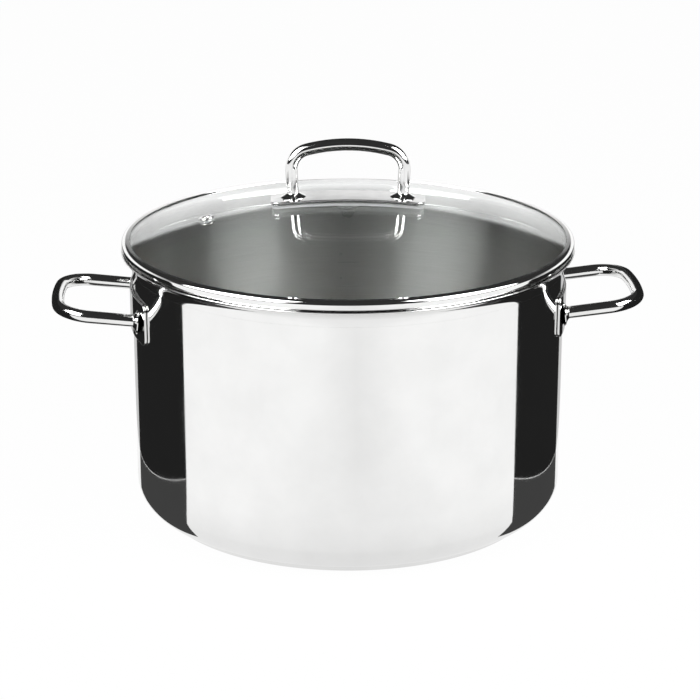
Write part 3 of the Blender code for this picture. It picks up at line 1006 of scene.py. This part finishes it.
@dataclass
class LidFixing:
    """What clamps the handle through the glass: stud, bush, seal, washer and hexagon cap nut."""

    stud: float = 0.0025
    bush: float = 0.0038
    seal: float = 0.0080
    washer: float = 0.0075
    hexagon: float = 0.0049
    hexagon_height: float = 0.0034
    cap: float = 0.0038
    steel: PolishedSteel = PolishedSteel("fixing_steel", (0.72, 0.72, 0.71), (0.62, 0.62, 0.61), 0.14, 0.26)
    rubber: Silicone = Silicone("fixing_silicone")

    def ring(self, name: str, inner: float, outer: float, low: float, high: float) -> Piece:
        """A flat ring with softened edges.

        Args:
            name: the piece's name.
            inner: radius of the bore.
            outer: outer radius.
            low: underside height.
            high: upper height.

        Returns:
            The piece.
        """
        soft = min(0.0002, (high - low) / 4)
        piece = Bench.lathe(name, [(inner, low), (outer - soft, low), (outer, low + soft),
                                   (outer, high - soft), (outer - soft, high), (inner, high)], 56, ring=True)
        Bench.smooth(piece)
        return piece

    def cap_nut(self) -> Piece:
        """A hexagon with a domed end, modelled from a six-sided cylinder."""
        low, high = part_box("lid_nut")[0].z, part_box("lid_nut")[1].z
        hex_low = high - self.hexagon_height
        Bench.clear()
        bpy.ops.mesh.primitive_cylinder_add(vertices=6, radius=self.hexagon, depth=high - hex_low,
                                            location=(0, 0, (high + hex_low) / 2))
        piece = Bench.name("lid_cap_nut")
        Bench.edit("EDGE")
        Bench.pick_edges(piece, lambda e: all(v.co.z < hex_low + 0.0001 for v in e.verts))
        bpy.ops.mesh.bevel(offset=0.0004, segments=2, affect="EDGES")
        Bench.done()
        cap = self.cap
        section = [(0.0, hex_low + 0.0008), (cap, hex_low + 0.0008), (cap, hex_low)]
        section += [(cap * math.cos(a), hex_low - (hex_low - low) * math.sin(a))
                    for a in (0.25, 0.5, 0.75, 1.0, 1.25, 1.45, math.pi / 2)]
        dome = Bench.lathe("nut_dome", section, 40)
        piece = Bench.join("lid_cap_nut", [piece, dome])
        Bench.smooth(piece)
        return piece

    def build(self) -> list[Piece]:
        """Builds the fixing from the strap down."""
        low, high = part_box("lid_stud")[0].z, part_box("lid_stud")[1].z
        section = [(0.0, high + 0.0003), (self.stud, high + 0.0003),
                   (self.stud, low + 0.0004), (self.stud - 0.0004, low), (0.0, low)]
        stud = Bench.lathe("lid_stud_turned", section, 40)
        Bench.smooth(stud)
        steel, rubber = self.steel.make(), self.rubber.make()
        worn = [wear(stud, steel, Body.LID, "lid_fixing", "lid_stud")]
        for node, name, radius, lift, finish, slot in (
                ("lid_bush", "lid_bush_soft", self.bush, 0.0, rubber, "silicone"),
                ("lid_seal_washer", "lid_seal_soft", self.seal, 0.0002, rubber, "silicone"),
                ("lid_washer", "lid_washer_flat", self.washer, 0.0002, steel, "lid_fixing")):
            low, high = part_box(node)[0].z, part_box(node)[1].z
            piece = self.ring(name, self.stud + 0.0002, radius, low, high + lift)
            worn.append(wear(piece, finish, Body.LID, slot, node))
        return worn + [wear(self.cap_nut(), steel, Body.LID, "lid_fixing", "lid_nut")]


# ---- the studio
@dataclass
class Studio:
    """Pale floor, soft lights, what the steel reflects, and the camera.

    The dark, grey and bright cards are seen by steel and glass only. They are set up for the
    front view; from other sides they show as hard-edged reflections.
    """

    view_turn: float = math.radians(3.6)
    distance: float = 1.4688
    height: float = 0.6021
    pitch: float = math.radians(18.76)
    lens: float = 120.49
    shift: float = 0.0029
    # Tone of the painted floor shade in front of the dark cards, seen only in reflections.
    card_ink: float = 0.016
    painted_floor_shade_ink: float = 0.055
    edge_ink: float = 0.60
    card_height: float = 0.17
    panel_reach: float = 1.3
    panel_low: float = 0.45
    panel_high: float = 2.2
    panel_tone: float = 8.0
    wall_tone: float = 1.05
    wall_top: tuple[float, float] = (0.255, 0.285)
    wall_side: tuple[float, float] = (0.15, 0.5)
    dark_air: float = 0.03
    floor_own: float = 0.98
    lamp_power: float = 16.0

    def facing(self, x: float, y: float, z: float = 0.0) -> Vector:
        """A place given across and away as the camera sees them, in the object's frame."""
        return Matrix.Rotation(-self.view_turn, 4, "Z") @ Vector((x, y, z))

    def glow(self, name: str, colour: Sequence[float], strength: float = 1.0) -> Material:
        """A card that gives an even tone of its own."""
        desk = NodeDesk(name)
        light = desk.node("Emission")
        desk.put(light, "Color", (*colour, 1.0))
        desk.put(light, "Strength", strength)
        out = desk.tree.nodes["Material Output"]
        desk.tree.links.new(light.outputs[0], out.inputs["Surface"])
        return desk.material

    def floor(self) -> None:
        """The floor: mostly its own white where it is seen, so the pot's shadow stays faint. Steel and glass
        see it with painted shade: darker round the pot's foot and through the pot's middle, lighter to the
        sides.
        """
        Bench.clear()
        bpy.ops.mesh.primitive_plane_add(size=24.0)
        floor = Bench.name("studio_floor")
        desk = NodeDesk("studio_white")
        desk.set(Base_Color=(0.9, 0.9, 0.9, 1.0), Roughness=0.8)
        split = desk.node("SeparateXYZ")
        desk.put(split, 0, desk.place())
        reach = desk.node("VectorMath", operation="LENGTH")
        desk.put(reach, 0, desk.place())
        # Painted light and shade, seen only in reflections: the floor is darker in a band through the pot's
        # middle and lighter to the sides, and darker in a ring round the pot's foot as a painted contact
        # shadow.
        beside = desk.span(desk.math("ABSOLUTE", split.outputs[0]), 0.92, 1.04, 0.0, 0.17)
        around = desk.span(reach.outputs["Value"], 0.90, 1.0, 0.16, 0.225)
        path = desk.node("LightPath")
        eye = path.outputs["Is Camera Ray"]
        tone = desk.math("ADD", eye, desk.math("MULTIPLY", desk.math("SUBTRACT", 1.0, eye),
                                               desk.math("MULTIPLY", beside, around)))
        light = desk.node("Emission")
        desk.put(light, "Color", (1.0, 1.0, 1.0, 1.0))
        desk.put(light, "Strength", tone)
        bounced = desk.math("MAXIMUM", path.outputs["Is Glossy Ray"], path.outputs["Is Transmission Ray"])
        seen = desk.math("MAXIMUM", eye, bounced)
        mix = desk.node("MixShader")
        desk.put(mix, 0, desk.math("MULTIPLY", seen, self.floor_own))
        desk.tree.links.new(desk.shader.outputs[0], mix.inputs[1])
        desk.tree.links.new(light.outputs[0], mix.inputs[2])
        desk.tree.links.new(mix.outputs[0], desk.tree.nodes["Material Output"].inputs["Surface"])
        floor.data.materials.append(desk.material)

    def card(self, name: str, corners: list[Vector], ink: float) -> None:
        """A flat card that only the steel and the glass see.

        Args:
            name: its name.
            corners: four corners in order.
            ink: its tone.
        """
        Bench.clear()
        bpy.ops.mesh.primitive_plane_add(size=1.0)
        card = Bench.name(name)
        order = (0, 1, 3, 2)
        for index, corner in zip(order, corners):
            card.data.vertices[index].co = corner
        card.data.materials.append(self.glow(name + "_tone", (ink, ink, ink)))
        card.visible_camera = False
        card.visible_diffuse = False
        card.visible_shadow = False
        card.visible_transmission = False

    def panel(self, name: str, azimuth: float, half_turn: float) -> None:
        """A bright panel in front of the pot, to the side, that only steel and glass see.

        Args:
            name: its name.
            azimuth: its middle in degrees, from the camera's direction, positive to the right.
            half_turn: half its width in degrees.
        """
        turns = [math.radians(azimuth + part) for part in (-half_turn, half_turn)]
        first, last = [(self.panel_reach * math.sin(a), -self.panel_reach * math.cos(a)) for a in turns]
        low, high = self.panel_low, self.panel_high
        self.card(name, [self.facing(*first, low), self.facing(*last, low),
                         self.facing(*last, high), self.facing(*first, high)], self.panel_tone)
        bpy.data.objects[name].visible_transmission = True

    def upright(self, name: str, start: tuple[float, float], end: tuple[float, float], ink: float) -> None:
        """A card that stands on the floor between two places, both as the camera sees them."""
        low, high = 0.001, self.card_height
        self.card(name, [self.facing(*start, low), self.facing(*end, low),
                         self.facing(*end, high), self.facing(*start, high)], ink)

    def cards(self) -> None:
        """Cards just beside the pot, a strip of painted floor shade in front of them, and the panels."""
        for word, side, reach in (("left", -1.0, -0.0825), ("right", 1.0, -0.0715)):
            near, far, back = (0.2248 * side, reach), (0.1824 * side, 0.0718), (0.155 * side, 0.34)
            foot = [(0.1037 * side, -0.0952), near, far, (0.1365 * side, -0.0345)]
            self.upright(f"dark_card_{word}", near, far, self.card_ink)
            self.upright(f"grey_card_{word}", far, back, self.edge_ink)
            # Painted shade: a dark sheet laid on the floor between the pot and the dark cards, seen only by
            # steel and glass.
            self.card(f"dark_strip_{word}", [self.facing(x, y, 0.0006) for x, y in foot], self.painted_floor_shade_ink)
        self.panel("bright_panel_left", -58.0, 27.0)
        self.panel("bright_panel_right", 63.0, 25.0)

    def lamp(self, name: str, place: Vector, aim: Vector, size: tuple[float, float], power: float) -> None:
        """A rectangular soft light for matt surfaces; steel and glass see the panels instead.

        Args:
            name: its name.
            place: where it hangs.
            aim: the point it faces.
            size: width and height.
            power: in watts.
        """
        Bench.clear()
        bpy.ops.object.light_add(type="AREA", location=place)
        lamp = bpy.context.object
        lamp.name = name
        lamp.data.shape = "RECTANGLE"
        lamp.data.size, lamp.data.size_y = size
        lamp.data.energy = power
        lamp.visible_glossy = False
        lamp.visible_transmission = False
        lamp.rotation_euler = (aim - place).to_track_quat("-Z", "Y").to_euler()

    def lamps(self) -> None:
        """Two tall soft boxes in front of the pot, to both sides."""
        aim = Vector((0.0, 0.0, 0.1))
        self.lamp("soft_left", self.facing(-0.88, -0.74, 0.90), aim, (0.7, 1.0), self.lamp_power)
        self.lamp("soft_right", self.facing(0.965, -0.626, 0.90), aim, (0.7, 1.0), self.lamp_power)

    def world(self) -> None:
        """White to the eye; steel and glass see a bright wall behind the pot and a dark room elsewhere."""
        world = bpy.data.worlds.new("studio_air")
        bpy.context.scene.world = world
        world.use_nodes = True
        desk = TreeDesk(world.node_tree)
        split = desk.node("SeparateXYZ")
        desk.put(split, 0, desk.node("TexCoord").outputs["Generated"])
        ramp = desk.node("ValToRGB")
        desk.put(ramp, 0, split.outputs["Z"])
        for stop, rise, tone in zip(ramp.color_ramp.elements, self.wall_top, (1.0, 0.0)):
            stop.position, stop.color = rise, (tone, tone, tone, 1.0)
        lit = desk.node("Math", operation="MULTIPLY_ADD")
        desk.put(lit, 0, ramp.outputs[0])
        desk.put(lit, 1, desk.span(split.outputs["Y"], 0.0, self.wall_tone, *self.wall_side))
        desk.put(lit, 2, self.dark_air)
        mix = desk.node("Mix", data_type="RGBA")
        desk.put(mix, "Factor", desk.node("LightPath").outputs["Is Camera Ray"])
        desk.put(mix, 6, lit.outputs[0])
        desk.put(mix, 7, (1.0, 1.0, 1.0, 1.0))
        background = desk.tree.nodes["Background"]
        desk.put(background, "Color", mix.outputs[2])
        desk.put(background, "Strength", 1.0)

    def camera(self) -> None:
        """The camera, looking slightly down on the pot."""
        bpy.ops.object.camera_add(
            location=(-self.distance * math.sin(self.view_turn), -self.distance * math.cos(self.view_turn),
                      self.height),
            rotation=(math.pi / 2 - self.pitch, 0.0, -self.view_turn))
        camera = bpy.context.object
        camera.data.sensor_width = 36.0
        camera.data.lens = self.lens
        camera.data.shift_x = self.shift
        camera.data.clip_start, camera.data.clip_end = 0.05, 60.0
        bpy.context.scene.camera = camera

    def build(self) -> None:
        """Sets up the whole studio."""
        bpy.context.scene.view_settings.view_transform = "Standard"
        self.camera()
        self.floor()
        self.cards()
        self.lamps()
        self.world()
        log.info("studio ready")


def dress_hidden_nodes() -> None:
    """Gives the carried-over CAD node its finish."""
    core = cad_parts["base_core"]
    core.data.materials.clear()
    core.data.materials.append(DISC_ALUMINIUM.make())


def main() -> None:
    """Builds the studio and every piece in order."""
    logging.basicConfig(level=logging.INFO, format="%(message)s")
    Studio().build()
    PotShell().build()
    BaseCap().build()
    for side in Side:
        SideHandle(side).build()
    LitreScale().build()
    GlassDome().build()
    RimBand().build()
    SteamVent().build()
    LidHandle().build()
    LidFixing().build()
    dress_hidden_nodes()


if __name__ == "__main__":
    main()
